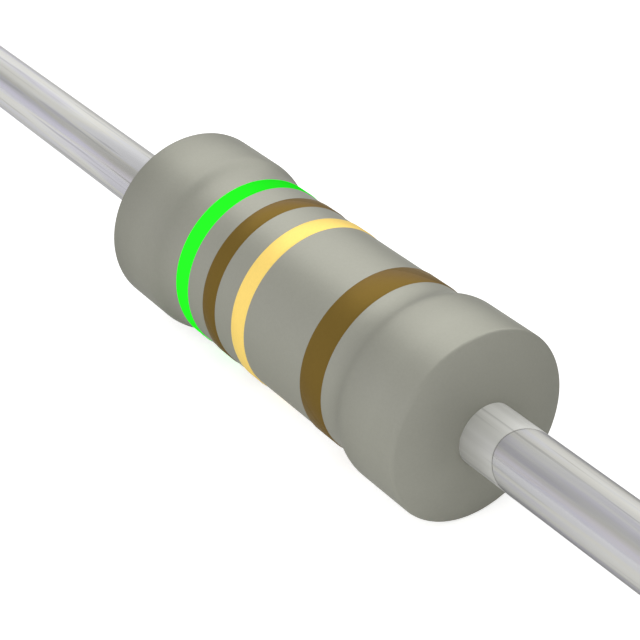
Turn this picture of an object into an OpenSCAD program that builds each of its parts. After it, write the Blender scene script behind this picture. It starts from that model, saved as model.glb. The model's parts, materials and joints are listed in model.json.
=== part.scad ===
// Axial power resistor: a dumbbell cement coating over a capped, spiral-cut ceramic rod,
// with a wire out of each end and four colour bands. Code green, brown, gold, brown: 5.1 ohm, 1 %.
// The axis lies along X, the origin is at the middle of the body, and the tolerance band is at +X.

/* [Coating] */
// Length of the body between the two points where the wires leave it
body_len = 6.45; // [6:0.05:8]
// Thickness of the coating over the film, along the straight waist
waist_cover = 0.205; // [0.16:0.005:0.26]
// Thickness of the coating over the caps, along the two thick ends
cap_cover = 0.175; // [0.14:0.005:0.22]
// Length of a thick end along the wire, from the wire's exit to where the waist starts
bulge_len = 1.5; // [1.3:0.05:1.75]
// Length of the shoulder that runs from the waist up to the thick end
shoulder_len = 0.48; // [0.3:0.02:0.7]
// Share of the shoulder that is its outer, rounded part, the rest being the hollow part
shoulder_round_share = 0.38; // [0.2:0.02:0.7]
// Radius of the flat middle of each end face
end_flat_r = 0.6; // [0.5:0.05:0.8]
// Radius of the soft round from that flat middle out to the rim
end_round_r = 1.5; // [1.2:0.1:4]
// Radius that rounds the rim of each end face
rim_round = 0.07; // [0.05:0.01:0.15]

/* [Colour bands] */
// Thickness of the band paint on the coating
paint_t = 0.012; // [0.01:0.001:0.03]
// Width of each of the three narrow bands
digit_band_w = 0.285; // [0.2:0.005:0.34]
// Width of the tolerance band
tolerance_band_w = 0.43; // [0.3:0.01:0.5]
// Bare waist between its left end and the first digit band
first_band_gap = 0.105; // [0:0.005:0.2]
// Distance from the middle of the first digit band to the middle of the second
second_band_step = 0.637; // [0.5:0.001:0.7]
// Distance from the middle of the second digit band to the middle of the multiplier band
multiplier_band_step = 0.661; // [0.5:0.001:0.8]
// Bare waist between its right end and the tolerance band
tolerance_band_gap = 0.126; // [0:0.002:0.3]

/* [Wires] */
// Diameter of the tinned copper wire
wire_d = 0.8; // [0.6:0.01:1]
// Length of each wire outside the body
wire_len = 28; // [10:0.5:38]
// Chamfer left on the cropped end of each wire
wire_tip_chamfer = 0.05; // [0.02:0.01:0.15]
// Thickness of the upset foot that is welded on the cap
weld_foot_t = 0.05; // [0.03:0.01:0.1]
// Radius of the hollow fillet from the foot to the wire
weld_fillet = 0.12; // [0.06:0.01:0.13]
// Width of the flat rim that the foot has outside its fillet
weld_foot_rim = 0.05; // [0.02:0.01:0.1]

/* [Element] */
// Diameter of the ceramic rod
core_d = 1.8; // [1.5:0.02:2.4]
// How much the chamfer at the rod's ends clears the rounded corner inside a cap
core_corner_gap = 0.01; // [0.01:0.01:0.05]
// Thickness of the resistive film, drawn thicker than the real deposit of under a thousandth
film_t = 0.045; // [0.04:0.005:0.06]
// Number of turns of the spiral kerf
kerf_turns = 5; // [3:1:7]
// Width of the kerf
kerf_w = 0.12; // [0.08:0.01:0.2]
// Length of the rod over which the kerf runs
kerf_len = 2.7; // [2:0.1:3]
// Depth that the kerf goes into the ceramic under the film
groove_depth = 0.04; // [0.03:0.01:0.08]

/* [Caps] */
// Thickness of the drawn steel of a cap
cap_wall = 0.13; // [0.1:0.01:0.15]
// Length of a cap, from its closed end to its mouth
cap_len = 1.08; // [0.9:0.02:1.2]
// Outer radius of the rounded corner at the closed end
cap_corner = 0.2; // [0.15:0.01:0.28]
// Thickness of the coating between a cap's closed end and the wire's exit
end_cover = 0.25; // [0.23:0.01:0.35]

/* [Hidden] */
$fn = 96;

coating_colour = [0.66, 0.66, 0.6];
green_paint = [0.14, 0.99, 0.16];
brown_paint = [0.5, 0.38, 0.19];
gold_paint = [0.95, 0.83, 0.45];
tin_colour = [0.75, 0.75, 0.78];
steel_colour = [0.6, 0.6, 0.58];
ceramic_colour = [0.93, 0.91, 0.86];
film_colour = [0.35, 0.33, 0.32];

// Half lengths along the axis, from the middle of the body outwards
exit_x = body_len / 2;
neck_x = exit_x - bulge_len;
crest_x = neck_x + shoulder_len;
cap_face_x = exit_x - end_cover;
cap_mouth_x = cap_face_x - cap_len;
core_end_x = cap_face_x - cap_wall;
core_chamfer = cap_corner - cap_wall + core_corner_gap;
film_end_x = core_end_x - core_chamfer;
wire_tip_x = exit_x + wire_len;

// Radii, from the rod outwards
core_r = core_d / 2;
film_r = core_r + film_t;
cap_r = film_r + cap_wall;
waist_r = film_r + waist_cover;
bulge_r = cap_r + cap_cover;
wire_r = wire_d / 2;
foot_r = wire_r + weld_fillet + weld_foot_rim;

// The soft round starts level with the flat middle
face_centre_x = exit_x - end_round_r;
// The rim's round touches the soft round from inside and the thick end's side
rim_centre_r = bulge_r - rim_round;
face_rise = rim_centre_r - end_flat_r;
rim_centre_x = face_centre_x + sqrt((end_round_r - rim_round) ^ 2 - face_rise ^ 2);
face_round_w = face_rise * end_round_r / (end_round_r - rim_round);

// The shoulder is two arcs that meet on one tangent, a hollow one and a rounded one
shoulder_rise = bulge_r - waist_r;
shoulder_arcs = (shoulder_len ^ 2 + shoulder_rise ^ 2) / (2 * shoulder_rise);
shoulder_angle = 2 * atan2(shoulder_rise, shoulder_len);
round_r = shoulder_arcs * shoulder_round_share;
hollow_r = shoulder_arcs - round_r;
bend_x = neck_x + hollow_r * sin(shoulder_angle);
bend_r = waist_r + hollow_r * (1 - cos(shoulder_angle));

// Middles of the colour bands along the waist
first_band_x = -neck_x + first_band_gap + digit_band_w / 2;
second_band_x = first_band_x + second_band_step;
multiplier_band_x = second_band_x + multiplier_band_step;
tolerance_band_x = neck_x - tolerance_band_gap - tolerance_band_w / 2;

// The kerf's cutter reaches through the film and stands clear of it by this much
cutter_over = 0.05;
// Steps in one turn of the kerf
kerf_steps = 30;

// Sections are drawn as (radius, height above the middle), and turned round the X axis
module turn() { rotate([0, 90, 0]) rotate_extrude() children(); }

// A section for the right half, drawn on the half that is named
module half(side) { mirror([0, side < 0 ? 1 : 0]) children(); }

// Both halves of a section
module both() { half(1) children(); half(-1) children(); }

// Right half of the coating's outline, solid to the axis
module coating_outline() {
    difference() {
        union() {
            square([waist_r, neck_x]);
            polygon([
                [0, neck_x], [waist_r, neck_x], [bend_r, bend_x], [bulge_r, crest_x],
                [bulge_r, rim_centre_x], [rim_centre_r, rim_centre_x], [0, rim_centre_x]
            ]);
            translate([bulge_r - round_r, crest_x]) circle(round_r);
            translate([rim_centre_r, rim_centre_x]) circle(rim_round);
            square([end_flat_r, exit_x]);
            translate([end_flat_r, face_centre_x]) intersection() {
                circle(end_round_r);
                square([face_round_w, end_round_r]);
            }
        }
        intersection() {
            translate([waist_r + hollow_r, neck_x]) circle(hollow_r);
            translate([waist_r, neck_x]) square([bend_r - waist_r, bend_x - neck_x]);
        }
    }
}

// The whole rod, with both ends chamfered
module core_section() {
    polygon([
        [0, -core_end_x], [core_r - core_chamfer, -core_end_x], [core_r, -film_end_x],
        [core_r, film_end_x], [core_r - core_chamfer, core_end_x], [0, core_end_x]
    ]);
}

// The film on the rod's side, between the two chamfers
module film_section() {
    translate([core_r, -film_end_x]) square([film_t, 2 * film_end_x]);
}

// A blind round shape that ends in a rounded corner, from the cap's mouth to a closed end
module cup_outline(r, end_x, corner) {
    translate([0, cap_mouth_x]) square([r, end_x - corner - cap_mouth_x]);
    translate([0, cap_mouth_x]) square([r - corner, end_x - cap_mouth_x]);
    translate([r - corner, end_x - corner]) circle(corner);
}

// Right cap: a drawn cup of one wall thickness, pressed over the film
module cap_section() {
    difference() {
        cup_outline(cap_r, cap_face_x, cap_corner);
        cup_outline(film_r, core_end_x, cap_corner - cap_wall);
    }
}

// Right wire with its welded foot
module wire_section() {
    fillet_x = cap_face_x + weld_foot_t + weld_fillet;
    difference() {
        union() {
            translate([0, cap_face_x]) square([foot_r, weld_foot_t]);
            translate([0, cap_face_x]) square([wire_r + weld_fillet, fillet_x - cap_face_x]);
        }
        translate([wire_r + weld_fillet, fillet_x]) circle(weld_fillet);
    }
    polygon([
        [0, cap_face_x], [wire_r, cap_face_x], [wire_r, wire_tip_x - wire_tip_chamfer],
        [wire_r - wire_tip_chamfer, wire_tip_x], [0, wire_tip_x]
    ]);
}

// A point on the kerf at a turn number, a radius and a distance from the kerf's middle line
function kerf_point(turn_no, radius, along) = [
    (turn_no / kerf_turns - 0.5) * kerf_len + along,
    radius * cos(360 * turn_no), radius * sin(360 * turn_no)
];

// The spiral cutter: a square-section ribbon that winds round the rod
module kerf_cutter() {
    inner = core_r - groove_depth;
    outer = film_r + cutter_over;
    rings = round(kerf_turns * kerf_steps);
    points = [for (i = [0:rings]) let (t = i / kerf_steps) each [
        kerf_point(t, inner, -kerf_w / 2), kerf_point(t, inner, kerf_w / 2),
        kerf_point(t, outer, kerf_w / 2), kerf_point(t, outer, -kerf_w / 2)
    ]];
    sides = [for (i = [0:rings - 1], k = [0:3]) let (a = 4 * i + k, b = 4 * i + (k + 1) % 4)
        each [[a, b + 4, b], [a, a + 4, b + 4]]];
    last = 4 * rings;
    polyhedron(points, concat(sides, [[0, 1, 2, 3], [last + 3, last + 2, last + 1, last]]));
}

module ceramic_core() {
    color(ceramic_colour) difference() {
        turn() core_section();
        kerf_cutter();
    }
}

module resistive_film() {
    color(film_colour) difference() {
        turn() film_section();
        kerf_cutter();
    }
}

module end_cap(side) { color(steel_colour) turn() half(side) cap_section(); }

module lead_wire(side) { color(tin_colour) turn() half(side) wire_section(); }

module flameproof_coating() {
    color(coating_colour) turn() difference() {
        both() coating_outline();
        core_section();
        film_section();
        both() {
            cup_outline(cap_r, cap_face_x, cap_corner);
            wire_section();
        }
    }
}

module colour_band(middle_x, width, paint) {
    color(paint) turn() translate([waist_r, middle_x - width / 2]) square([paint_t, width]);
}

ceramic_core();
resistive_film();
end_cap(-1);  // left_end_cap
end_cap(1);  // right_end_cap
lead_wire(-1);  // left_lead_wire
lead_wire(1);  // right_lead_wire
flameproof_coating();
colour_band(first_band_x, digit_band_w, green_paint);  // first_digit_band
colour_band(second_band_x, digit_band_w, brown_paint);  // second_digit_band
colour_band(multiplier_band_x, digit_band_w, gold_paint);  // multiplier_band
colour_band(tolerance_band_x, tolerance_band_w, brown_paint);  // tolerance_band
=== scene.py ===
# %% [markdown]
# An axial power resistor: a rod of ceramic with a metal film, a pressed steel cap on each end, a
# wire welded to each cap, and a fired cement lacquer over all of it but the wires. Four painted
# bands give its value. Everything on it was turned, dipped or rolled round one axis, so this
# lesson builds almost every piece in the same way: an outline, turned round the X axis.
# Modelling cylinders one by one would work too, but an outline keeps true radii everywhere.
#
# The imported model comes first. It holds every piece at its real size, in metres, and nothing
# here moves it. The pieces that show are made again on finer meshes in the same places.

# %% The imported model
import json
import math

import bpy
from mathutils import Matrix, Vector


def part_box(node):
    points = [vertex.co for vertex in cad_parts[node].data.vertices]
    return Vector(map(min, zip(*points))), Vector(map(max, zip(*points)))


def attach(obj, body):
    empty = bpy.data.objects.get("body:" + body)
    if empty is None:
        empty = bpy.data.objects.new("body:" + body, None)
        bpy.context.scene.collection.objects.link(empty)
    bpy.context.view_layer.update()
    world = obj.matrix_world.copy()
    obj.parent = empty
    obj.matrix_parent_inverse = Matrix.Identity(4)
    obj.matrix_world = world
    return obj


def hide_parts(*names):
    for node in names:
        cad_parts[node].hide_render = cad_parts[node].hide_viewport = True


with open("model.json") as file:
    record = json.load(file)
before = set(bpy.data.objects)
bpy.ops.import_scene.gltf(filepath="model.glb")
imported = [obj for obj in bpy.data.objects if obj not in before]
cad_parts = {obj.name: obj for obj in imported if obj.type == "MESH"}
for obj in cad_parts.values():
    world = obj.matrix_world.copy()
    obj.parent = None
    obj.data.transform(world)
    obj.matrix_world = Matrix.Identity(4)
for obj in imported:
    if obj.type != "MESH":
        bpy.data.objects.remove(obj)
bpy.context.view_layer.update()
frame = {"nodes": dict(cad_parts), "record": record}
print("pieces in the packed model:", ", ".join(sorted(frame["nodes"])))

# %% [markdown]
# Sizes are written in millimetres and turned into metres by one factor. Most of them are read
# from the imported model, so that the fine pieces can't drift away from it: the box of a piece
# gives its radius and where it starts and ends along the axis.

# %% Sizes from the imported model
mm = 0.001


def ends(node):
    """Where a piece starts and ends along the axis, and its largest radius, to a micrometre."""
    low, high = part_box(node)
    return round(low.x, 6), round(high.x, 6), round(high.z, 6)


_, exit_x, bulge_r = ends("flameproof_coating")
cap_mouth_x, cap_face_x, cap_r = ends("right_end_cap")
film_r = ends("resistive_film")[2]
_, wire_tip_x, foot_r = ends("right_lead_wire")
wire_r = frame["record"]["mounts"][0]["dims"]["r_mm"] * mm
print(f"body {2 * exit_x / mm:.2f} mm long and {2 * bulge_r / mm:.2f} mm thick")
print(f"wire {2 * wire_r / mm:.2f} mm thick, its tip {wire_tip_x / mm:.2f} mm from the middle")

# %% [markdown]
# An outline is a list of points in the XY plane: x runs along the axis and y is the radius.
# Straight parts need only their ends. Rounded parts are arcs, and one helper makes them with a
# point every few degrees, so that no flat shows on the finished edge.

# %% Arcs for the outlines
ARC_STEP = math.radians(5)


def arc(centre_x, centre_r, radius, start, end):
    """Points on an arc, both ends included, with the angles in degrees from the X axis."""
    start, end = math.radians(start), math.radians(end)
    count = max(2, math.ceil(abs(end - start) / ARC_STEP))
    angles = [start + (end - start) * i / count for i in range(count + 1)]
    return [(centre_x + radius * math.cos(a), centre_r + radius * math.sin(a)) for a in angles]


def mirrored(points):
    """The same points for the other end of the part, in the order that carries the line on."""
    return [(-x, r) for x, r in reversed(points)]


print("points on a quarter of a circle:", len(arc(0, 0, 1, 0, 90)))

# %% [markdown]
# A lathe turns a bar while the tool follows an outline. Geometry Nodes can do the same. Spin
# would do for one piece, but a tree is built once and then used by each turned piece with its
# own number of steps and its own finish. The tree takes a piece that holds only its outline's
# points. One small helper adds all nodes, here and in the materials.

# %% A helper that adds one node
def add(tree, kind, inputs=None, **settings):
    """Adds a node, gives it its settings, and fills or links the inputs that are named."""
    node = tree.nodes.new(kind)
    for name, value in settings.items():
        setattr(node, name, value)
    for name, value in (inputs or {}).items():
        if isinstance(value, bpy.types.NodeSocket):
            tree.links.new(value, node.inputs[name])
        else:
            node.inputs[name].default_value = value
    return node


# %% [markdown]
# What differs from piece to piece comes in through the tree's named inputs: the outline, how
# many steps there are round the axis, how close doubles are, and the finish.

# %% The lathe's inputs
lathe = bpy.data.node_groups.new("Turned round the wire's axis", "GeometryNodeTree")
lathe.is_modifier = True
for name, kind in (
    ("Outline", "NodeSocketGeometry"),
    ("Steps round", "NodeSocketInt"),
    ("Merge distance", "NodeSocketFloat"),
    ("Finish", "NodeSocketMaterial"),
):
    lathe.interface.new_socket(name, in_out="INPUT", socket_type=kind)
lathe.interface.new_socket("Piece", in_out="OUTPUT", socket_type="NodeSocketGeometry")
given = add(lathe, "NodeGroupInput").outputs
print("lathe inputs:", [s.name for s in lathe.interface.items_tree if s.in_out == "INPUT"])

# %% [markdown]
# The tree lays out a flat grid, with one row for each of the outline's points and one column
# for each step round the axis, and one more column to come back to the start. The grid's points
# are numbered along one row after the other, so a number divided by the columns gives the row,
# and what is left over gives the column.

# %% A flat grid of rows and columns
outline_points = add(
    lathe, "GeometryNodeAttributeDomainSize", {"Geometry": given["Outline"]}
).outputs["Point Count"]
columns = add(
    lathe, "FunctionNodeIntegerMath", {0: given["Steps round"], 1: 1}, operation="ADD"
).outputs[0]
grid = add(
    lathe, "GeometryNodeMeshGrid", {"Vertices X": outline_points, "Vertices Y": columns}
).outputs["Mesh"]
number = add(lathe, "GeometryNodeInputIndex").outputs[0]
row, column = (
    add(lathe, "FunctionNodeIntegerMath", {0: number, 1: columns}, operation=rule).outputs[0]
    for rule in ("DIVIDE_FLOOR", "MODULO")
)
print("nodes that lay out the grid:", len(lathe.nodes))

# %% [markdown]
# Each grid point takes the x and the radius of the outline's point in its row, and its column
# says how far round the axis it goes.

# %% Each point in its place round the axis
share_of_turn = add(
    lathe, "ShaderNodeMath", {0: column, 1: given["Steps round"]}, operation="DIVIDE"
).outputs[0]
angle = add(
    lathe, "ShaderNodeMath", {0: share_of_turn, 1: math.tau}, operation="MULTIPLY"
).outputs[0]
place_on_outline = add(lathe, "GeometryNodeInputPosition").outputs[0]
outline_point = add(
    lathe,
    "GeometryNodeSampleIndex",
    {"Geometry": given["Outline"], "Value": place_on_outline, "Index": row},
    data_type="FLOAT_VECTOR",
).outputs[0]
profile = add(lathe, "ShaderNodeSeparateXYZ", {0: outline_point}).outputs
across, up = (
    add(lathe, "ShaderNodeMath", {0: angle}, operation=part).outputs[0]
    for part in ("COSINE", "SINE")
)
y, z = (
    add(lathe, "ShaderNodeMath", {0: profile["Y"], 1: part}, operation="MULTIPLY").outputs[0]
    for part in (across, up)
)
place = add(lathe, "ShaderNodeCombineXYZ", {"X": profile["X"], "Y": y, "Z": z}).outputs[0]
moved = add(lathe, "GeometryNodeSetPosition", {"Geometry": grid, "Position": place}).outputs[0]
print("nodes with the turning:", len(lathe.nodes))

# %% [markdown]
# Where the grid meets itself, and where it touches the axis, the doubles are merged, so the
# solid is closed.

# %% Closed and given its finish
closed = add(
    lathe,
    "GeometryNodeMergeByDistance",
    {"Geometry": moved, "Distance": given["Merge distance"]},
).outputs[0]
real = add(lathe, "GeometryNodeRealizeInstances", {"Geometry": closed}).outputs[0]
finished = add(
    lathe, "GeometryNodeSetMaterial", {"Geometry": real, "Material": given["Finish"]}
).outputs[0]
add(lathe, "NodeGroupOutput", {"Piece": finished})
print("nodes in the lathe:", len(lathe.nodes))

# %% [markdown]
# One function runs the lathe on an outline. The modifier's inputs are set by their sockets'
# identifiers, the evaluated result becomes a plain mesh, and the modifier goes. The sign of the
# mesh's volume says whether its faces point outwards, and they are turned round where it is
# negative. Edges sharper than a limit stay crisp and all others are shaded smooth.

# %% Running the lathe
SHARP_EDGE = math.radians(32)
MERGE_DISTANCE = 0.0002 * mm


def volume(mesh):
    """Volume that the mesh encloses, in cubic metres, positive where the faces point outwards."""
    mesh.calc_loop_triangles()
    corners = [v.co for v in mesh.vertices]
    total = 0.0
    for triangle in mesh.loop_triangles:
        a, b, c = (corners[i] for i in triangle.vertices)
        total += a.dot(b.cross(c)) / 6
    return total


def turned(name, outline, steps_round, finish):
    """A closed solid of revolution with the given outline, as a plain mesh at the origin."""
    flat = bpy.data.meshes.new(name + "_outline")
    flat.from_pydata([(x, r, 0) for x, r in outline], [], [])
    piece = bpy.data.objects.new(name, flat)
    bpy.context.scene.collection.objects.link(piece)
    modifier = piece.modifiers.new("Lathe", "NODES")
    modifier.node_group = lathe
    asked = {"Steps round": steps_round, "Merge distance": MERGE_DISTANCE, "Finish": finish}
    for socket in lathe.interface.items_tree:
        if socket.name in asked:
            modifier[socket.identifier] = asked[socket.name]
    evaluated = piece.evaluated_get(bpy.context.evaluated_depsgraph_get())
    mesh = bpy.data.meshes.new_from_object(evaluated)
    piece.modifiers.remove(modifier)
    piece.data = mesh
    bpy.data.meshes.remove(flat)
    mesh.name = name
    if volume(mesh) < 0:
        mesh.flip_normals()
    mesh.shade_smooth()
    mesh.set_sharp_from_angle(angle=SHARP_EDGE)
    print(f"{name}: {len(mesh.polygons)} faces, {volume(mesh) / mm**3:.3f} mm3")
    return piece


# %% [markdown]
# Colours are written as they look, in sRGB hex, and one function turns them into the linear
# values that the shader works with.
#
# Each material is a Principled shader. Patterns are placed by Object coordinates, which are
# metres here, so a pattern of a known real size has a scale of one over that size.

# %% Colours and the start of a material
def linear(hex_colour):
    """The linear colour of an sRGB hex value such as #939389, with an alpha of 1."""
    values = [int(hex_colour[i:i + 2], 16) / 255 for i in (1, 3, 5)]
    return [v / 12.92 if v <= 0.04045 else ((v + 0.055) / 1.055) ** 2.4 for v in values] + [1.0]


def new_finish(name, **sockets):
    """A material with a Principled shader, whose constant values sit on its own sockets."""
    material = bpy.data.materials.new(name)
    material.use_nodes = True
    tree = material.node_tree
    shader = tree.nodes["Principled BSDF"]
    for socket, value in sockets.items():
        shader.inputs[socket.replace("_", " ")].default_value = value
    place = add(tree, "ShaderNodeTexCoord").outputs["Object"]
    return material, tree, shader, place


print("the lacquer's grey in linear values:", [round(v, 3) for v in linear("#939389")])

# %% [markdown]
# The coating is a flameproof cement lacquer: fine alumina and silica powder in a silicone
# binder, rolled on while the body turns and then fired. It dries matt, with a grain of a few
# hundredths of a millimetre, and its grey is slightly warm and never quite even. The same
# lacquer with a pigment makes the bands.
#
# Two noises make that, one for the clouds in the grey and one for the grain. A noise needs no
# picture file and no unwrapping, and it looks the same all round. The sum of the two stays near
# one, and it becomes a factor on the lacquer's lightness.

# %% Clouds and grain of the lacquer
GRAIN = 0.035 * mm
GRAIN_DETAIL = 2.0
CLOUD = 0.8 * mm
CLOUD_DETAIL = 3.0
SUM_OF_NOISES = (0.6, 1.4)  # the range that the sum hardly leaves


def clouds_and_grain(tree, place, cloudy):
    """A factor on the lightness that wanders by the share cloudy round one, and the grain."""
    clouds, grain = (
        add(
            tree, "ShaderNodeTexNoise", {"Vector": place, "Scale": 1 / size, "Detail": detail}
        ).outputs["Fac"]
        for size, detail in ((CLOUD, CLOUD_DETAIL), (GRAIN, GRAIN_DETAIL))
    )
    both = add(tree, "ShaderNodeMath", {0: clouds, 1: grain}, operation="ADD").outputs[0]
    lightness = add(
        tree,
        "ShaderNodeMapRange",
        {
            "Value": both,
            "From Min": SUM_OF_NOISES[0],
            "From Max": SUM_OF_NOISES[1],
            "To Min": 1 - cloudy,
            "To Max": 1 + cloudy,
        },
    ).outputs[0]
    return lightness, grain


print("lacquer grain", GRAIN / mm, "mm, clouds", CLOUD / mm, "mm")

# %% [markdown]
# Each shoulder has a painted shade: a darker ring with soft edges in the hollow over the mouth of
# the cap, where shade falls, and it shows more at the right end. A painted shade also grows
# towards each rim, as if less light reached there, and that shows more at the left end. Both are
# factors on the lightness, found from the distance to the middle of the body. Painting the shade
# on the mesh would tie it to the mesh's faces, and this way it stays soft.

# %% Painted shade on the shoulders and towards the rims
PAINTED_RING_X = 1.99 * mm
PAINTED_RING_INWARDS = 0.3 * mm
PAINTED_RING_OUTWARDS = 0.6 * mm
PAINTED_RING_SHADES = (0.07, 0.14)  # at the left end and at the right end
PAINTED_RIM_X = (2.4 * mm, 3.15 * mm)  # where the shade starts and where it is full
PAINTED_RIM_SHADES = (0.19, 0.04)  # at the left end and at the right end


def kept_at_each_end(tree, along, shades):
    """The lightness that is left after the left end's painted shade, or after the right end's."""
    return add(
        tree,
        "ShaderNodeMapRange",
        {
            "Value": along,
            "From Min": -PAINTED_RING_X,
            "From Max": PAINTED_RING_X,
            "To Min": 1 - shades[0],
            "To Max": 1 - shades[1],
        },
    ).outputs[0]


# A painted shade: a darker ring in the hollow of each shoulder, where shade falls.
def painted_ring_shade(tree, along, from_middle):
    """The lightness kept under the painted ring of shade on each shoulder, which fades away on
    both its sides.
    """
    from_ring = add(
        tree, "ShaderNodeMath", {0: from_middle, 1: PAINTED_RING_X}, operation="SUBTRACT"
    ).outputs[0]
    inwards, outwards = (
        add(tree, "ShaderNodeMath", {0: from_ring, 1: reach}, operation="DIVIDE").outputs[0]
        for reach in (-PAINTED_RING_INWARDS, PAINTED_RING_OUTWARDS)
    )
    faded = add(
        tree, "ShaderNodeMath", {0: inwards, 1: outwards}, operation="MAXIMUM"
    ).outputs[0]
    kept = kept_at_each_end(tree, along, PAINTED_RING_SHADES)
    return add(tree, "ShaderNodeMapRange", {"Value": faded, "To Min": kept}).outputs[0]


# A painted shade that darkens the lacquer towards each rim.
def painted_rim_shade(tree, along, from_middle):
    """The lightness kept under the painted shade that grows towards each rim."""
    return add(
        tree,
        "ShaderNodeMapRange",
        {
            "Value": from_middle,
            "From Min": PAINTED_RIM_X[0],
            "From Max": PAINTED_RIM_X[1],
            "To Min": 1.0,
            "To Max": kept_at_each_end(tree, along, PAINTED_RIM_SHADES),
        },
    ).outputs[0]


print("darker ring", PAINTED_RING_X / mm, "mm from the middle of the body")

# %% [markdown]
# The gloss of a varnish is white. Here the powder throws light back broadly and in the lacquer's
# own colour, so a small share of the surface is shaded as a rough metal of that colour, and the
# white gloss is kept low. One function makes the coating and the bands, and takes the colour
# and a second one, which tints the gloss where the surface is seen almost edge-on.

# %% Cement lacquer and band paint
LACQUER_ROUGHNESS = 0.42
LACQUER_IOR = 1.52
WHITE_GLOSS = 0.1  # as a share of the sheen
GRAIN_HEIGHT = 0.0006 * mm


def lacquer(name, colour, cloudy, sheen, painted_glow=0.0, edge="#606060"):
    """A fired lacquer: cloudy is how far its lightness wanders, as a share, and sheen the share
    of the light that the flakes in it throw back as a gloss of the lacquer's own colour."""
    material, tree, shader, place = new_finish(
        name,
        Metallic=sheen,
        Roughness=LACQUER_ROUGHNESS,
        IOR=LACQUER_IOR,
        Specular_IOR_Level=sheen * WHITE_GLOSS,
        Specular_Tint=linear(edge),
        Emission_Color=linear(colour),
        # The emission is a painted glow in the paint's own colour, which shines without any lamp.
        Emission_Strength=painted_glow,
    )
    lightness, grain = clouds_and_grain(tree, place, cloudy)
    along = add(tree, "ShaderNodeSeparateXYZ", {0: place}).outputs["X"]
    from_middle = add(tree, "ShaderNodeMath", {0: along}, operation="ABSOLUTE").outputs[0]
    # The painted shade on the shoulders and towards the rims darkens the lacquer's colour here.
    for kept in (painted_ring_shade(tree, along, from_middle), painted_rim_shade(tree, along, from_middle)):
        lightness = add(
            tree, "ShaderNodeMath", {0: lightness, 1: kept}, operation="MULTIPLY"
        ).outputs[0]
    base = add(
        tree,
        "ShaderNodeVectorMath",
        {0: linear(colour)[:3], "Scale": lightness},
        operation="SCALE",
    )
    tree.links.new(base.outputs[0], shader.inputs["Base Color"])
    bump = add(
        tree, "ShaderNodeBump", {"Height": grain, "Distance": GRAIN_HEIGHT, "Strength": 1.0}
    )
    tree.links.new(bump.outputs[0], shader.inputs["Normal"])
    return material


cement_lacquer = lacquer("Fired cement lacquer", "#939389", cloudy=0.03, sheen=0.2)
print("nodes in the lacquer:", len(cement_lacquer.node_tree.nodes))

# %% [markdown]
# The coating's outline is a dumbbell. Each end face is flat round the wire, rounds off softly
# further out, and a small round joins it to the thick end's side. From there a shoulder runs
# down to the waist in two arcs that meet on one tangent, first a rounded one and then a hollow
# one. Inside, the outline follows what the lacquer was laid on: the wire with its welded foot,
# the cap and the film. One half is written down and the other half is its mirror image.
#
# A cylinder that is pulled in at its middle could look like this too, but only arcs of known
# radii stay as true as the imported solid.

# %% Sizes of the coating
PAINT_T = 0.012 * mm
BULGE_LEN = 1.5 * mm
SHOULDER_LEN = 0.48 * mm
SHOULDER_ROUND_SHARE = 0.38  # of the two arcs' radii taken together
END_FLAT_R = 0.6 * mm
END_ROUND_R = 1.5 * mm
RIM_ROUND = 0.07 * mm
CAP_CORNER = 0.2 * mm
WELD_FOOT_T = 0.05 * mm
WELD_FILLET = 0.12 * mm
waist_r = ends("tolerance_band")[2] - PAINT_T
foot_x = cap_face_x + WELD_FOOT_T
print(f"waist {2 * waist_r / mm:.2f} mm thick")


# %% Outside of the coating
def coating_outside():
    """From the wire's exit round the thick end to the start of the waist."""
    face_x = exit_x - END_ROUND_R
    rim_r = bulge_r - RIM_ROUND
    face_rise = rim_r - END_FLAT_R
    rim_x = face_x + math.sqrt((END_ROUND_R - RIM_ROUND) ** 2 - face_rise**2)
    rim_angle = math.degrees(math.atan2(face_rise, rim_x - face_x))
    rise = bulge_r - waist_r
    arcs = (SHOULDER_LEN**2 + rise**2) / (2 * rise)
    round_r = arcs * SHOULDER_ROUND_SHARE
    hollow_r = arcs - round_r
    lean = math.degrees(2 * math.atan2(rise, SHOULDER_LEN))
    neck_x = exit_x - BULGE_LEN
    crest_x = neck_x + SHOULDER_LEN
    return (
        [(exit_x, wire_r)]
        + arc(face_x, END_FLAT_R, END_ROUND_R, 0, rim_angle)
        + arc(rim_x, rim_r, RIM_ROUND, rim_angle, 90)[1:]
        + arc(crest_x, bulge_r - round_r, round_r, 90, 90 + lean)
        + arc(neck_x, waist_r + hollow_r, hollow_r, lean - 90, -90)[1:]
    )


outside = coating_outside()
print("points on one half of the outside:", len(outside))


# %% Inside of the coating
def weld_foot():
    """The wire's foot from the cap's face, and the fillet from there to the wire."""
    fillet = arc(foot_x + WELD_FILLET, wire_r + WELD_FILLET, WELD_FILLET, 180, 270)
    return [(cap_face_x, foot_r), (foot_x, foot_r)] + fillet


def coating_inside():
    """From the middle of the film over the cap and the welded foot to the wire's exit."""
    return (
        [(cap_mouth_x, film_r), (cap_mouth_x, cap_r)]
        + arc(cap_face_x - CAP_CORNER, cap_r - CAP_CORNER, CAP_CORNER, 90, 0)
        + weld_foot()
    )


inside = coating_inside()
print("points on one half of the inside:", len(inside))

# %% The coating
STEPS_ROUND_BODY = 256
coating_line = outside + mirrored(outside) + mirrored(inside) + inside + [outside[0]]
coating = turned("cement_coating", coating_line, STEPS_ROUND_BODY, cement_lacquer)
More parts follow.
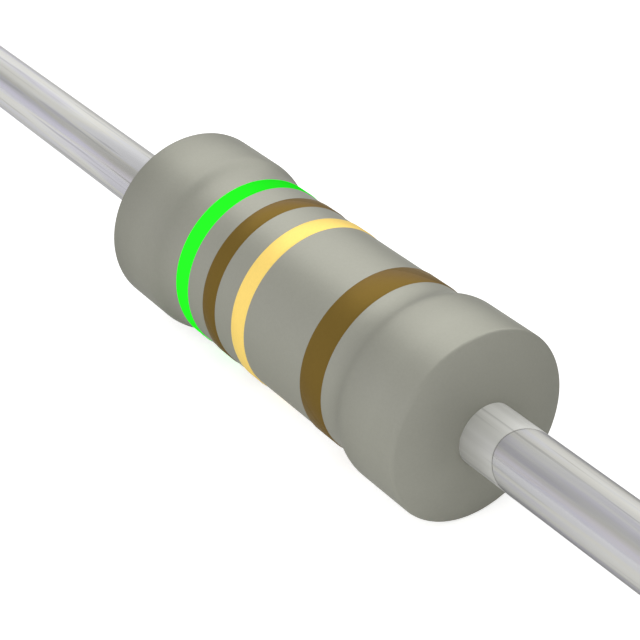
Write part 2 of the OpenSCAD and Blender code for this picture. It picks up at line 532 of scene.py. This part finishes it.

# %% [markdown]
# The bands are rolled on by small printing wheels while the body turns, so each is one thin ring
# of paint that thins out at its edges. Green, brown and gold give five, one and a tenth: 5.1 ohm,
# and the wider brown one says that it is right to one part in a hundred. Stripes in the
# coating's material would be flat, so each band is a ring of its own, whose edge catches light.
# A loop makes them all, and each takes its place from its own ring in the imported model.
#
# The green is given a painted glow: it gives off a little light of its own colour, so it stays
# bright whatever light falls on it. The browns are an earth pigment with a darker edge gloss, and
# the gold holds fine brass flakes, which give it a warm and slightly uneven gloss.

# %% The four bands
STEPS_ROUND_BAND = 256
PAINT_FADE = 0.035 * mm
green = lacquer("Green band paint", "#26FC26", cloudy=0.0, sheen=0.0, painted_glow=0.13)
brown = lacquer("Brown band paint", "#6F5A2A", cloudy=0.04, sheen=0.2, edge="#4C3A14")
gold = lacquer("Gold band paint", "#F6D576", cloudy=0.04, sheen=0.14)
band_finish = {
    "first_digit_band": (green, "green_paint"),
    "second_digit_band": (brown, "brown_paint"),
    "multiplier_band": (gold, "gold_paint"),
    "tolerance_band": (brown, "brown_paint"),
}
bands = []
for node, (finish, slot) in band_finish.items():
    start, end, outer_r = ends(node)
    ring = [
        (start, waist_r), (start + PAINT_FADE, outer_r), (end - PAINT_FADE, outer_r),
        (end, waist_r), (start, waist_r),
    ]
    band = turned(node + "_paint", ring, STEPS_ROUND_BAND, finish)
    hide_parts(node)
    bands.append(band)

# %% [markdown]
# The wires are soft copper with a skin of tin. All of the wire was tinned by plating, which is
# pale and satin, and then its free length was dipped in molten tin, which flows out brighter.
# The dip stopped a little short of the body, on a slanting line, because the part went into the
# bath at a tilt.
#
# Two materials would need that slanting line cut into the mesh. So one material has both
# finishes, and a slanting plane across the wire chooses between them: a dot product measures how
# far out each point is, with the slope taken off for its place across the wire.

# %% Where the dipped tin begins
DIP_LINE_X = exit_x + 0.74 * mm
DIP_SLOPE = (-0.383, 0.405)  # what a point's place back and up adds to its place outwards
DIP_EDGE = 0.012 * mm


def past_dip_line(tree, place, side):
    """One on the dipped tin and nothing on the plated tin, for the wire on that side."""
    along_slope = add(
        tree, "ShaderNodeVectorMath", {0: place, 1: (side, *DIP_SLOPE)}, operation="DOT_PRODUCT"
    ).outputs["Value"]
    return add(
        tree,
        "ShaderNodeMapRange",
        {
            "Value": along_slope,
            "From Min": DIP_LINE_X - DIP_EDGE / 2,
            "From Max": DIP_LINE_X + DIP_EDGE / 2,
        },
    ).outputs[0]


print(f"dip line {(DIP_LINE_X - exit_x) / mm:.2f} mm from the body")

# %% [markdown]
# Marks on the tin run along the wire: broad streaks, left as the tin ran, fine lines, left by
# drawing and handling, and low waves in the dipped tin, which bend the long bands that it
# mirrors. Each is a noise that is stretched along X, because its coordinates are divided by a
# long size there and by a short one across. The real lines are finer still, and these are as
# coarse as they need to be to show.

# %% Marks along the wire
STREAKS = (6.0 * mm, 0.2 * mm)  # length and width, here and in the next two
LINES = (2.4 * mm, 0.04 * mm)
WAVES = (1.1 * mm, 0.35 * mm)
MARK_DETAIL = 2.0


def marks_along(tree, place, length, width):
    """Marks of about that length along the wire and that width across it."""
    stretched = add(
        tree, "ShaderNodeMapping", {"Vector": place, "Scale": (1 / length, 1 / width, 1 / width)}
    ).outputs[0]
    return add(
        tree, "ShaderNodeTexNoise", {"Vector": stretched, "Scale": 1.0, "Detail": MARK_DETAIL}
    ).outputs["Fac"]


print(f"streaks {STREAKS[0] / mm:.1f} mm long and {STREAKS[1] / mm:.1f} mm wide")

# %% [markdown]
# The streaks choose the colours: two pale greys on the plated tin, and greys with a breath of
# lavender and of straw on the dipped tin. A ramp turns the level of a streak into its colour.

# %% Colours of the tin
PLATED_COLOURS = ((0.4, "#C7C7C2"), (0.6, "#D4D4D0"))
DIPPED_COLOURS = ((0.4, "#BBBAC0"), (0.47, "#C5C5C2"), (0.53, "#C4C3BD"), (0.6, "#C0C0C2"))


def streak_colour(tree, streaks, colours):
    """The colour of each level of the streaks, from levels and colours in rising order."""
    node = add(tree, "ShaderNodeValToRGB", {"Fac": streaks})
    elements = node.color_ramp.elements
    while len(elements) < len(colours):
        elements.new(1.0)
    for element, (level, hex_colour) in zip(elements, colours):
        element.position = level
        element.color = linear(hex_colour)
    return node.outputs["Color"]


print("levels of the streaks on dipped tin:", [level for level, _ in DIPPED_COLOURS])

# %% [markdown]
# The deepest of the fine lines are darker, because dirt stays in them. The tin is also duller
# near the body, up to the dip line, and past it that fades away over nearly two millimetres.
# Each gives the share of its light that the tin keeps, and the two shares are multiplied.

# %% Dirt and dullness of the tin
DIRTY_LINES = (0.3, 0.42)  # levels of the lines where the dirt is full and where it ends
KEPT_IN_LINES = 0.78
DULL_LENGTH = 1.8 * mm
KEPT_WHERE_DULL = 0.86


def kept_light(tree, place, lines, side):
    """The share of its light that the tin keeps, with dirt in its lines and where it is dull."""
    along = add(tree, "ShaderNodeSeparateXYZ", {0: place}).outputs["X"]
    outward = add(tree, "ShaderNodeMath", {0: along, 1: side}, operation="MULTIPLY").outputs[0]
    in_lines, past_dip = (
        add(
            tree,
            "ShaderNodeMapRange",
            {"Value": value, "From Min": low, "From Max": high, "To Min": kept},
        ).outputs[0]
        for value, low, high, kept in (
            (lines, *DIRTY_LINES, KEPT_IN_LINES),
            (outward, DIP_LINE_X, DIP_LINE_X + DULL_LENGTH, KEPT_WHERE_DULL),
        )
    )
    return add(
        tree, "ShaderNodeMath", {0: in_lines, 1: past_dip}, operation="MULTIPLY"
    ).outputs[0]


print(f"the dullness ends {(DIP_LINE_X - exit_x + DULL_LENGTH) / mm:.2f} mm from the body")

# %% [markdown]
# The lines stand out all over the wire. On the dipped tin its waves come on top, and its own
# thickness, so that its edge stands a thousandth of a millimetre higher than the plated tin.
# All of that is far too fine for the mesh, so a bump shows it.

# %% Heights on the tin
LINE_HEIGHT = 0.0005 * mm
WAVE_HEIGHT = 0.008 * mm
DIP_HEIGHT = 0.0012 * mm


def tin_height(tree, dipped, lines, waves):
    """How high the tin stands, counted in heights of its lines."""
    skin = add(
        tree,
        "ShaderNodeMath",
        {0: waves, 1: WAVE_HEIGHT / LINE_HEIGHT, 2: DIP_HEIGHT / LINE_HEIGHT},
        operation="MULTIPLY_ADD",
    ).outputs[0]
    return add(
        tree, "ShaderNodeMath", {0: dipped, 1: skin, 2: lines}, operation="MULTIPLY_ADD"
    ).outputs[0]


print(f"the dipped tin stands {DIP_HEIGHT / LINE_HEIGHT:.1f} heights of a line higher")

# %% [markdown]
# Plated tin scatters more than half of the light, so its Metallic is low, and dipped tin mirrors
# all of it. A metal mirrors more where it is seen edge-on. Rough tin does so less than a
# polished one, so an edge colour holds that back, and each wire has its own.

# %% Tinned copper
PLATED_AND_DIPPED = {"Metallic": (0.4, 1.0), "Roughness": (0.36, 0.22)}


def tinned_copper(name, side, edge):
    """Plated tin next to the body and dipped tin beyond the dip line, for one end's wire. The
    edge colour is what the tin keeps of the light where it is seen almost edge-on."""
    material, tree, shader, place = new_finish(name, Specular_Tint=linear(edge))
    streaks, lines, waves = (marks_along(tree, place, *size) for size in (STREAKS, LINES, WAVES))
    dipped = past_dip_line(tree, place, side)
    plated_colour = streak_colour(tree, streaks, PLATED_COLOURS)
    dipped_colour = streak_colour(tree, streaks, DIPPED_COLOURS)
    colour = add(
        tree, "ShaderNodeMix", {0: dipped, 6: plated_colour, 7: dipped_colour}, data_type="RGBA"
    ).outputs[2]
    kept = kept_light(tree, place, lines, side)
    base = add(tree, "ShaderNodeVectorMath", {0: colour, "Scale": kept}, operation="SCALE")
    tree.links.new(base.outputs[0], shader.inputs["Base Color"])
    for socket, (plated, past_line) in PLATED_AND_DIPPED.items():
        zone = add(
            tree, "ShaderNodeMapRange", {"Value": dipped, "To Min": plated, "To Max": past_line}
        )
        tree.links.new(zone.outputs[0], shader.inputs[socket])
    height = tin_height(tree, dipped, lines, waves)
    bump = add(
        tree, "ShaderNodeBump", {"Height": height, "Distance": LINE_HEIGHT, "Strength": 1.0}
    )
    tree.links.new(bump.outputs[0], shader.inputs["Normal"])
    return material


# %% [markdown]
# A wire is round and straight, with the small crumb of a chamfer that the cropping blade leaves
# on its tip. At its inner end, which the coating hides, it flares through a fillet into the flat
# foot that is welded to the cap. A curve with a round bevel would give a plain wire, and the
# lathe gives the foot and the chamfer as well.

# %% The two wires
STEPS_ROUND_WIRE = 128
TIP_CHAMFER = 0.05 * mm
EDGE_COLOURS = {"left": "#D2D2D2", "right": "#C2C2C2"}
wire_line = (
    [(cap_face_x, 0)]
    + weld_foot()
    + [(wire_tip_x - TIP_CHAMFER, wire_r), (wire_tip_x, wire_r - TIP_CHAMFER), (wire_tip_x, 0)]
)
wires = []
for side, name in ((-1, "left"), (1, "right")):
    tin = tinned_copper(f"Tinned copper, {name}", side, EDGE_COLOURS[name])
    line = wire_line if side > 0 else mirrored(wire_line)
    wire = turned(f"{name}_tinned_wire", line, STEPS_ROUND_WIRE, tin)
    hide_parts(f"{name}_lead_wire")
    wires.append(wire)

# %% [markdown]
# What the coating hides has the right shape already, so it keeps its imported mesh, and only the
# material in its slot is changed. Sintered alumina is matt and off-white, drawn steel is a satin
# grey with the fine unevenness that the press leaves, and the film is a dark metal with a sheen.
# The real grains are a few thousandths of a millimetre, and these are drawn about ten times as
# coarse, so that they show at all.

# %% Finishes of the hidden pieces
HIDDEN_HEIGHT = 0.001 * mm
HIDDEN_DETAIL = 4.0


def hidden_finish(name, colour, other, grain, roughness, metallic):
    """Two close colours mixed by a grain of the given real size."""
    material, tree, shader, place = new_finish(name, Roughness=roughness, Metallic=metallic)
    level = add(
        tree, "ShaderNodeTexNoise", {"Vector": place, "Scale": 1 / grain, "Detail": HIDDEN_DETAIL}
    ).outputs["Fac"]
    mixed = add(
        tree,
        "ShaderNodeMix",
        {0: level, 6: linear(colour), 7: linear(other)},
        data_type="RGBA",
    )
    tree.links.new(mixed.outputs[2], shader.inputs["Base Color"])
    bump = add(tree, "ShaderNodeBump", {"Height": level, "Distance": HIDDEN_HEIGHT})
    tree.links.new(bump.outputs[0], shader.inputs["Normal"])
    return material


alumina = hidden_finish(
    "Sintered alumina", "#EEE9DC", "#E2DDCF", grain=0.05 * mm, roughness=0.7, metallic=0.0
)
drawn_steel = hidden_finish(
    "Drawn steel", "#A2A29E", "#8E8E8A", grain=0.03 * mm, roughness=0.35, metallic=1.0
)
metal_film = hidden_finish(
    "Sputtered metal film", "#5B5653", "#4E4A48", grain=0.04 * mm, roughness=0.25, metallic=1.0
)
for node, finish in (
    ("ceramic_core", alumina),
    ("resistive_film", metal_film),
    ("left_end_cap", drawn_steel),
    ("right_end_cap", drawn_steel),
):
    mesh = frame["nodes"][node].data
    mesh.materials.clear()
    mesh.materials.append(finish)
    print(node, "is finished in", finish.name)

# %% [markdown]
# Nothing in a resistor moves, so every new piece rides on the one body, and the coating stands
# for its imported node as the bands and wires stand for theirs.

# %% Riding on the body
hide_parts("flameproof_coating")
for piece in [coating, *bands, *wires]:
    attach(piece, "root")
print("pieces made here:", 1 + len(bands) + len(wires))

# %% [markdown]
# The floor is a wide sheet of matt paper that the thick ends of the body rest on.

# %% The floor
FLOOR_SIDE = 6000 * mm
floor_mesh = bpy.data.meshes.new("floor")
half = FLOOR_SIDE / 2
sheet_corners = ((-half, -half), (half, -half), (half, half), (-half, half))
floor_mesh.from_pydata([(x, y, -bulge_r) for x, y in sheet_corners], [], [(0, 1, 2, 3)])
floor = bpy.data.objects.new("floor", floor_mesh)
bpy.context.scene.collection.objects.link(floor)
print(f"floor {bulge_r / mm:.2f} mm below the axis")

# %% [markdown]
# The paper keeps the part's soft shadow, and on top of that it gives off a little light of its
# own, so that it reads as white. Stronger lamps would make it white too, but they would bleach
# the part. Light Path says which rays see the glow. The camera and glass see all of it. The tin
# mirrors part of it: more in front of the part than behind it, and more beyond its left end.
# Matt surfaces see more and more of it from near the left end of the body to the right and
# beyond, as on a table that is lit from one side.

# %% How much of the paper's glow is seen
GLOW_BEHIND = 0.12
GLOW_IN_FRONT = 0.5
GLOW_BEYOND = 0.3
GLOW_ON_MATT = 0.85
FRONT_Y = (0.3 * mm, -0.8 * mm)  # where a change starts and ends, here and in the next two
BEYOND_X = (-2.0 * mm, -6.0 * mm)
MATT_X = (-2.0 * mm, 8.0 * mm)
paper = bpy.data.materials.new("White paper floor")
paper.use_nodes = True
paper_tree = paper.node_tree
paper_tree.nodes.clear()
seen_by = add(paper_tree, "ShaderNodeLightPath").outputs
paper_place = add(paper_tree, "ShaderNodeTexCoord").outputs["Object"]
paper_axes = add(paper_tree, "ShaderNodeSeparateXYZ", {0: paper_place}).outputs


def across_floor(axis, places, values):
    """A value that changes evenly between two places on the floor and is steady past them."""
    return add(
        paper_tree,
        "ShaderNodeMapRange",
        {
            "Value": paper_axes[axis],
            "From Min": places[0],
            "From Max": places[1],
            "To Min": values[0],
            "To Max": values[1],
        },
    ).outputs[0]


by_side = across_floor("Y", FRONT_Y, (GLOW_BEHIND, GLOW_IN_FRONT))
by_end = across_floor("X", BEYOND_X, (0.0, GLOW_BEYOND))
in_mirror = add(paper_tree, "ShaderNodeMath", {0: by_side, 1: by_end}).outputs[0]
on_matt = across_floor("X", MATT_X, (0.0, GLOW_ON_MATT))
shown = 0.0
for ray, share in (
    ("Is Camera Ray", 1.0),
    ("Is Transmission Ray", 1.0),
    ("Is Glossy Ray", in_mirror),
    ("Is Diffuse Ray", on_matt),
):
    shown = add(
        paper_tree,
        "ShaderNodeMath",
        {0: seen_by[ray], 1: share, 2: shown},
        operation="MULTIPLY_ADD",
        use_clamp=True,
    ).outputs[0]
print("nodes that share out the glow:", len(paper_tree.nodes))

# %% [markdown]
# The paper is the sum of a matt white and its glow. Seen from below, the sheet is clear, so
# that a view from there still shows the part.

# %% Paper for the floor
PAPER_GLOW = 0.62
PAPER_WHITE = (0.9, 0.9, 0.9, 1.0)
glow = add(
    paper_tree, "ShaderNodeMath", {0: shown, 1: PAPER_GLOW}, operation="MULTIPLY"
).outputs[0]
matt = add(paper_tree, "ShaderNodeBsdfDiffuse", {"Color": PAPER_WHITE}).outputs[0]
lit = add(paper_tree, "ShaderNodeEmission", {"Strength": glow}).outputs[0]
top = add(paper_tree, "ShaderNodeAddShader", {0: matt, 1: lit}).outputs[0]
underneath = add(paper_tree, "ShaderNodeBsdfTransparent").outputs[0]
from_below = add(paper_tree, "ShaderNodeNewGeometry").outputs["Backfacing"]
sheet = add(paper_tree, "ShaderNodeMixShader", {0: from_below, 1: top, 2: underneath}).outputs[0]
add(paper_tree, "ShaderNodeOutputMaterial", {"Surface": sheet})
floor_mesh.materials.append(paper)
print("nodes in the paper:", len(paper_tree.nodes))

# %% [markdown]
# The light is a white studio: a tent of cloth all round the part. Panels of mesh could stand
# for the cloth, but nodes in the world give it softer edges and less noise. A bright wire
# mirrors the tent in long bands, so its parts are strips that run along X, and a strip is placed
# by its angle round the axis. Its soft edges are a smooth step between two angles.

# %% Strips of a light tent
world = bpy.data.worlds.new("Light tent")
bpy.context.scene.world = world
world.use_nodes = True
tent = world.node_tree
tent.nodes.clear()
outlook = add(tent, "ShaderNodeTexCoord").outputs["Generated"]
tent_axes = add(tent, "ShaderNodeSeparateXYZ", {0: outlook}).outputs
round_axis = add(
    tent, "ShaderNodeMath", {0: tent_axes["Z"], 1: tent_axes["Y"]}, operation="ARCTAN2"
).outputs[0]
towards_ends = add(tent, "ShaderNodeMath", {0: tent_axes["X"]}, operation="ABSOLUTE").outputs[0]


def strip(middle, inner, outer):
    """One near the middle of a strip along X, fading to nothing. The middle is its angle round
    the axis, up from the back, and the fade runs from inner to outer, all in degrees."""
    off = add(
        tent, "ShaderNodeMath", {0: round_axis, 1: math.radians(middle)}, operation="SUBTRACT"
    ).outputs[0]
    off_either_side = add(tent, "ShaderNodeMath", {0: off}, operation="ABSOLUTE").outputs[0]
    return add(
        tent,
        "ShaderNodeMapRange",
        {
            "Value": off_either_side,
            "From Min": math.radians(outer),
            "From Max": math.radians(inner),
        },
        interpolation_type="SMOOTHSTEP",
    ).outputs[0]


def plus(total, share, at_middle, at_ends):
    """A total with a share of an amount that changes from the middle of the tent to its ends."""
    amount = add(
        tent,
        "ShaderNodeMath",
        {0: towards_ends, 1: at_ends - at_middle, 2: at_middle},
        operation="MULTIPLY_ADD",
    ).outputs[0]
    return add(
        tent, "ShaderNodeMath", {0: share, 1: amount, 2: total}, operation="MULTIPLY_ADD"
    ).outputs[0]


print("the tent so far:", len(tent.nodes), "nodes")

# %% [markdown]
# What the tin mirrors is brighter at the tent's two ends than over its middle. It has a bright
# strip at the back, where the cloth is lit from behind. High in front, where the camera stands,
# a strip grows darker towards the tent's ends. Lower in front is a faint lavender strip, which
# is daylight that comes in at a seam.

# %% What the tin mirrors
back_strip = strip(middle=29, inner=8, outer=61)
camera_strip = strip(middle=133, inner=8, outer=30)
lavender_strip = strip(middle=163, inner=4, outer=22)
in_tin = plus(0.0, 1.0, at_middle=0.68, at_ends=1.175)
in_tin = plus(in_tin, back_strip, at_middle=0.27, at_ends=0.54)
in_tin = plus(in_tin, camera_strip, at_middle=0.02, at_ends=-0.44)
in_tin = plus(in_tin, lavender_strip, at_middle=0.22, at_ends=0.03)
print("the tent with what the tin mirrors:", len(tent.nodes), "nodes")

# %% [markdown]
# Matt surfaces only feel where most of the light comes from, so for them the tent is plain: it
# is stronger on the side that faces the camera and a little weaker towards both ends. Light Path
# picks one of the two for each ray. For the camera and for glass the world is simply white.

# %% How strong the tent's light is
TENT_LEVEL = 0.862
STRONGER_SIDE = (0.0, -0.61, 0.0)
WEAKER_ENDS = 0.05
rays = add(tent, "ShaderNodeLightPath").outputs
from_front = add(
    tent, "ShaderNodeVectorMath", {0: outlook, 1: STRONGER_SIDE}, operation="DOT_PRODUCT"
).outputs["Value"]
squared = add(
    tent, "ShaderNodeMath", {0: tent_axes["X"], 1: tent_axes["X"]}, operation="MULTIPLY"
).outputs[0]
all_round = add(
    tent, "ShaderNodeMath", {0: squared, 1: -WEAKER_ENDS, 2: TENT_LEVEL}, operation="MULTIPLY_ADD"
).outputs[0]
plain = add(tent, "ShaderNodeMath", {0: from_front, 1: all_round}).outputs[0]
light = add(
    tent, "ShaderNodeMix", {0: rays["Is Glossy Ray"], 2: plain, 3: in_tin}, data_type="FLOAT"
).outputs[0]
seen_through = add(
    tent,
    "ShaderNodeMath",
    {0: rays["Is Camera Ray"], 1: rays["Is Transmission Ray"]},
    use_clamp=True,
).outputs[0]
strength = add(
    tent, "ShaderNodeMix", {0: seen_through, 2: light, 3: 1.0}, data_type="FLOAT"
).outputs[0]
print("the tent with its strengths:", len(tent.nodes), "nodes")

# %% [markdown]
# The lavender strip needs its colour as well, and only rays that see a mirror image show it. All
# else is white. Colour and strength go to the world's background.

# %% The light tent
TENT_WHITE = (1, 1, 1, 1)
tinted = add(
    tent, "ShaderNodeMath", {0: rays["Is Glossy Ray"], 1: lavender_strip}, operation="MULTIPLY"
).outputs[0]
tint = add(
    tent, "ShaderNodeMix", {0: tinted, 6: TENT_WHITE, 7: linear("#F4F1FF")}, data_type="RGBA"
).outputs[2]
background = add(tent, "ShaderNodeBackground", {"Color": tint, "Strength": strength}).outputs[0]
add(tent, "ShaderNodeOutputWorld", {"Surface": background})
print("the whole tent:", len(tent.nodes), "nodes")

# %% [markdown]
# Two soft lamps finish the light, and light linking gives each its own pieces. The broad one
# hangs behind and above the left end. It draws the wide satin streak along the top of the
# lacquer and adds nothing to its matt colour. The smaller one lights the wires but isn't
# mirrored in them, so it reaches only the plated tin, which scatters light.

# %% Two soft lamps
LAMP_DISTANCE = 100 * mm


def soft_lamp(name, side, energy, direction, pieces):
    """A square lamp that faces the middle of the part and lights only the given pieces."""
    data = bpy.data.lights.new(name, "AREA")
    data.shape = "SQUARE"
    data.size = side
    data.energy = energy
    lamp = bpy.data.objects.new(name, data)
    bpy.context.scene.collection.objects.link(lamp)
    towards = Vector(direction).normalized()
    lamp.location = towards * LAMP_DISTANCE
    lamp.rotation_mode = "QUATERNION"
    lamp.rotation_quaternion = towards.to_track_quat("Z", "Y")
    lamp.visible_camera = False
    lit = bpy.data.collections.new("Lit by " + name)
    for piece in pieces:
        lit.objects.link(piece)
    lamp.light_linking.receiver_collection = lit
    print(name, "lights", len(pieces), "pieces")
    return lamp


gloss_lamp = soft_lamp(
    "gloss_lamp",
    side=150 * mm,
    energy=0.26,
    direction=(-0.46, 0.48, 0.72),
    pieces=[coating, *bands],
)
gloss_lamp.visible_diffuse = False
satin_lamp = soft_lamp(
    "satin_lamp", side=60 * mm, energy=0.08, direction=(0.3, 0.55, 0.78), pieces=wires
)
satin_lamp.visible_glossy = False

# %% [markdown]
# The camera looks down on the tolerance band's end from the front right. It stands close, at
# about three and a half body lengths, so the far end looks clearly smaller than the near one.
# Its place and its lens were fitted together, because a place further off with a longer lens
# shows the same size but less of that.

# %% The camera
SENSOR_WIDTH = 36
LENS = 100.94
CAMERA_PLACE = Vector((15.695, -11.158, 11.814)) * mm
CAMERA_AIM = Vector((0.029, -0.047, -0.078)) * mm
camera_data = bpy.data.cameras.new("camera")
camera_data.sensor_width = SENSOR_WIDTH
camera_data.lens = LENS
camera_data.clip_start = 1 * mm
camera_data.clip_end = 2 * FLOOR_SIDE
camera = bpy.data.objects.new("camera", camera_data)
bpy.context.scene.collection.objects.link(camera)
camera.location = CAMERA_PLACE
camera.rotation_mode = "QUATERNION"
camera.rotation_quaternion = (CAMERA_AIM - CAMERA_PLACE).to_track_quat("-Z", "Y")
bpy.context.scene.camera = camera
bpy.context.scene.view_settings.view_transform = "Standard"
print(f"camera {camera.location.length / mm:.1f} mm from the middle of the body")
